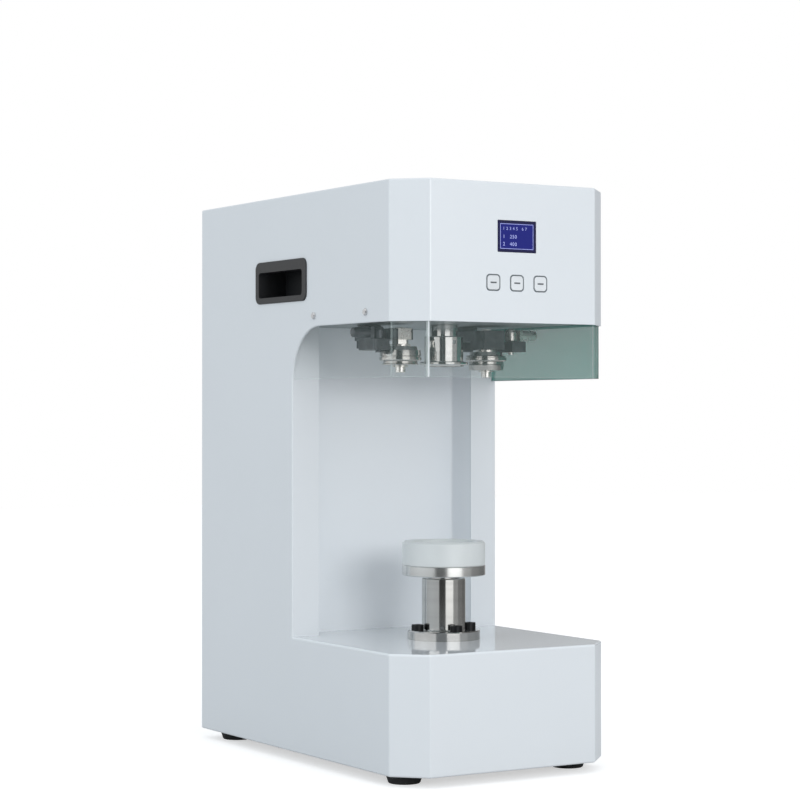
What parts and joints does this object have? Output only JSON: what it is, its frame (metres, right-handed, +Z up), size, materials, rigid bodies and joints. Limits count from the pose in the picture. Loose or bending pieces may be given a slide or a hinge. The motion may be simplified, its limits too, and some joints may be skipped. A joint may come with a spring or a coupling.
{
  "type": "can seamer",
  "caption": "Bench-top can seamer: C-frame cabinet, driven chuck, two swinging seaming rollers behind a clear guard, and a screw lift with a free-turning can nest.",
  "frame": {"origin": "on the bench, under the middle of the machine", "axes": "+X is the operator's right, -Y faces the operator, +Z is up"},
  "size_m": [0.2584, 0.437, 0.589],
  "materials": {
    "cabinet_paint": "smooth satin powder coat",
    "table_paint": "glossy powder coat",
    "clear_acrylic": "clear acrylic",
    "black_plastic": "fine matt",
    "grey_seal": "matt",
    "key_plastic": "smooth",
    "display_glass": "gloss",
    "circuit_board": "solder mask",
    "rubber": "matt",
    "rocker_plastic": "gloss",
    "steel_screw": "zinc plated",
    "dark_steel": "black oxide",
    "nickel_steel": "nickel plated",
    "polished_steel": "polished",
    "plate_steel": "ground",
    "bearing_steel": "ground",
    "satin_steel": "fine turned",
    "bronze": "machined",
    "white_nylon": "translucent, turned",
    "satin_aluminium": "turned",
    "motor_paint": "satin black"
  },
  "bodies": {
    "cabinet": {"arm_gearmotors": "motor_paint", "back_cover": "cabinet_paint", "base_front_cover": "cabinet_paint", "base_table_sheet": "table_paint", "bottom_plate": "cabinet_paint", "cabinet_screws": "steel_screw", "control_boards": "circuit_board", "display_module": "black_plastic", "display_window": "display_glass", "drive_belt": "rubber", "drive_motor": "motor_paint", "frame_spine": "plate_steel", "guard_screen": "clear_acrylic", "head_front_cover": "cabinet_paint", "head_mounting_plate": "plate_steel", "key_gaskets": "grey_seal", "left_handle_cup": "black_plastic", "left_side_panel": "cabinet_paint", "lift_actuator": "satin_aluminium", "lift_flange_bolts": "dark_steel", "lift_frame": "plate_steel", "lift_sleeve": "satin_steel", "motor_bracket": "plate_steel", "plain_bushes": "bronze", "power_inlet": "black_plastic", "power_supply": "satin_aluminium", "right_handle_cup": "black_plastic", "right_side_panel": "cabinet_paint", "rocker_bezel": "black_plastic", "rubber_feet": "rubber", "spindle_bearings": "bearing_steel", "spindle_housing": "plate_steel", "throat_wall": "cabinet_paint", "top_cover": "cabinet_paint"},
    "spindle": {"spindle_shaft": "polished_steel", "seaming_chuck": "polished_steel", "spindle_fasteners": "plate_steel", "spindle_pulley": "satin_aluminium"},
    "motor_rotor": {"motor_pulley_shaft": "satin_aluminium"},
    "lift": {"lift_ram": "bearing_steel", "table_bearing": "bearing_steel"},
    "table": {"table_disc": "satin_aluminium", "table_pivot_pin": "bearing_steel", "can_nest": "white_nylon"},
    "first_arm_body": {"first_arm": "dark_steel", "first_roller_holder": "nickel_steel", "first_roller_pin": "nickel_steel", "first_arm_shaft": "dark_steel", "first_arm_adjuster": "dark_steel"},
    "second_arm_body": {"second_arm": "dark_steel", "second_roller_holder": "dark_steel", "second_roller_pin": "nickel_steel", "second_arm_shaft": "dark_steel", "second_arm_adjuster": "nickel_steel"},
    "first_roller": {"first_seaming_roller": "polished_steel"},
    "second_roller": {"second_seaming_roller": "polished_steel"},
    "left_key_body": {"left_key": "key_plastic"},
    "middle_key_body": {"middle_key": "key_plastic"},
    "right_key_body": {"right_key": "key_plastic"},
    "rocker": {"power_rocker": "rocker_plastic"}
  },
  "joints": [
    {"name": "spindle_spin", "type": "hinge", "parent": "cabinet", "child": "spindle", "pos_m": [0, -0.088, 0.45], "axis": [0, 0, 1], "continuous": true},
    {"name": "motor_spin", "type": "hinge", "parent": "cabinet", "child": "motor_rotor", "pos_m": [0, 0.13, 0.535], "axis": [0, 0, 1], "continuous": true},
    {"name": "lift_slide", "type": "slide", "parent": "cabinet", "child": "lift", "axis": [0, 0, 1], "range_m": [0, 0.057]},
    {"name": "table_spin", "type": "hinge", "parent": "lift", "child": "table", "pos_m": [0, -0.088, 0.2], "axis": [0, 0, 1], "continuous": true},
    {"name": "first_arm_swing", "type": "hinge", "parent": "cabinet", "child": "first_arm_body", "pos_m": [-0.06, -0.038, 0.44], "axis": [0, 0, 1], "range_deg": [0, 9]},
    {"name": "second_arm_swing", "type": "hinge", "parent": "cabinet", "child": "second_arm_body", "pos_m": [0.06, -0.038, 0.44], "axis": [0, 0, -1], "range_deg": [0, 9]},
    {"name": "first_roller_spin", "type": "hinge", "parent": "first_arm_body", "child": "first_roller", "pos_m": [-0.0525, -0.088, 0.42], "axis": [0, 0, 1], "continuous": true},
    {"name": "second_roller_spin", "type": "hinge", "parent": "second_arm_body", "child": "second_roller", "pos_m": [0.0525, -0.088, 0.416], "axis": [0, 0, 1], "continuous": true},
    {"name": "left_key_press", "type": "slide", "parent": "cabinet", "child": "left_key_body", "axis": [0, 1, 0], "range_m": [0, 0.0008], "stiffness_N_per_m": 400},
    {"name": "middle_key_press", "type": "slide", "parent": "cabinet", "child": "middle_key_body", "axis": [0, 1, 0], "range_m": [0, 0.0008], "stiffness_N_per_m": 400},
    {"name": "right_key_press", "type": "slide", "parent": "cabinet", "child": "right_key_body", "axis": [0, 1, 0], "range_m": [0, 0.0008], "stiffness_N_per_m": 400},
    {"name": "power_rocker_tilt", "type": "hinge", "parent": "cabinet", "child": "rocker", "pos_m": [0.002, 0.212, 0.085], "axis": [1, 0, 0], "range_deg": [0, 18]}
  ],
  "couplings": [
    {"joint": "motor_spin", "follows": "spindle_spin", "ratio": 1.7}
  ]
}
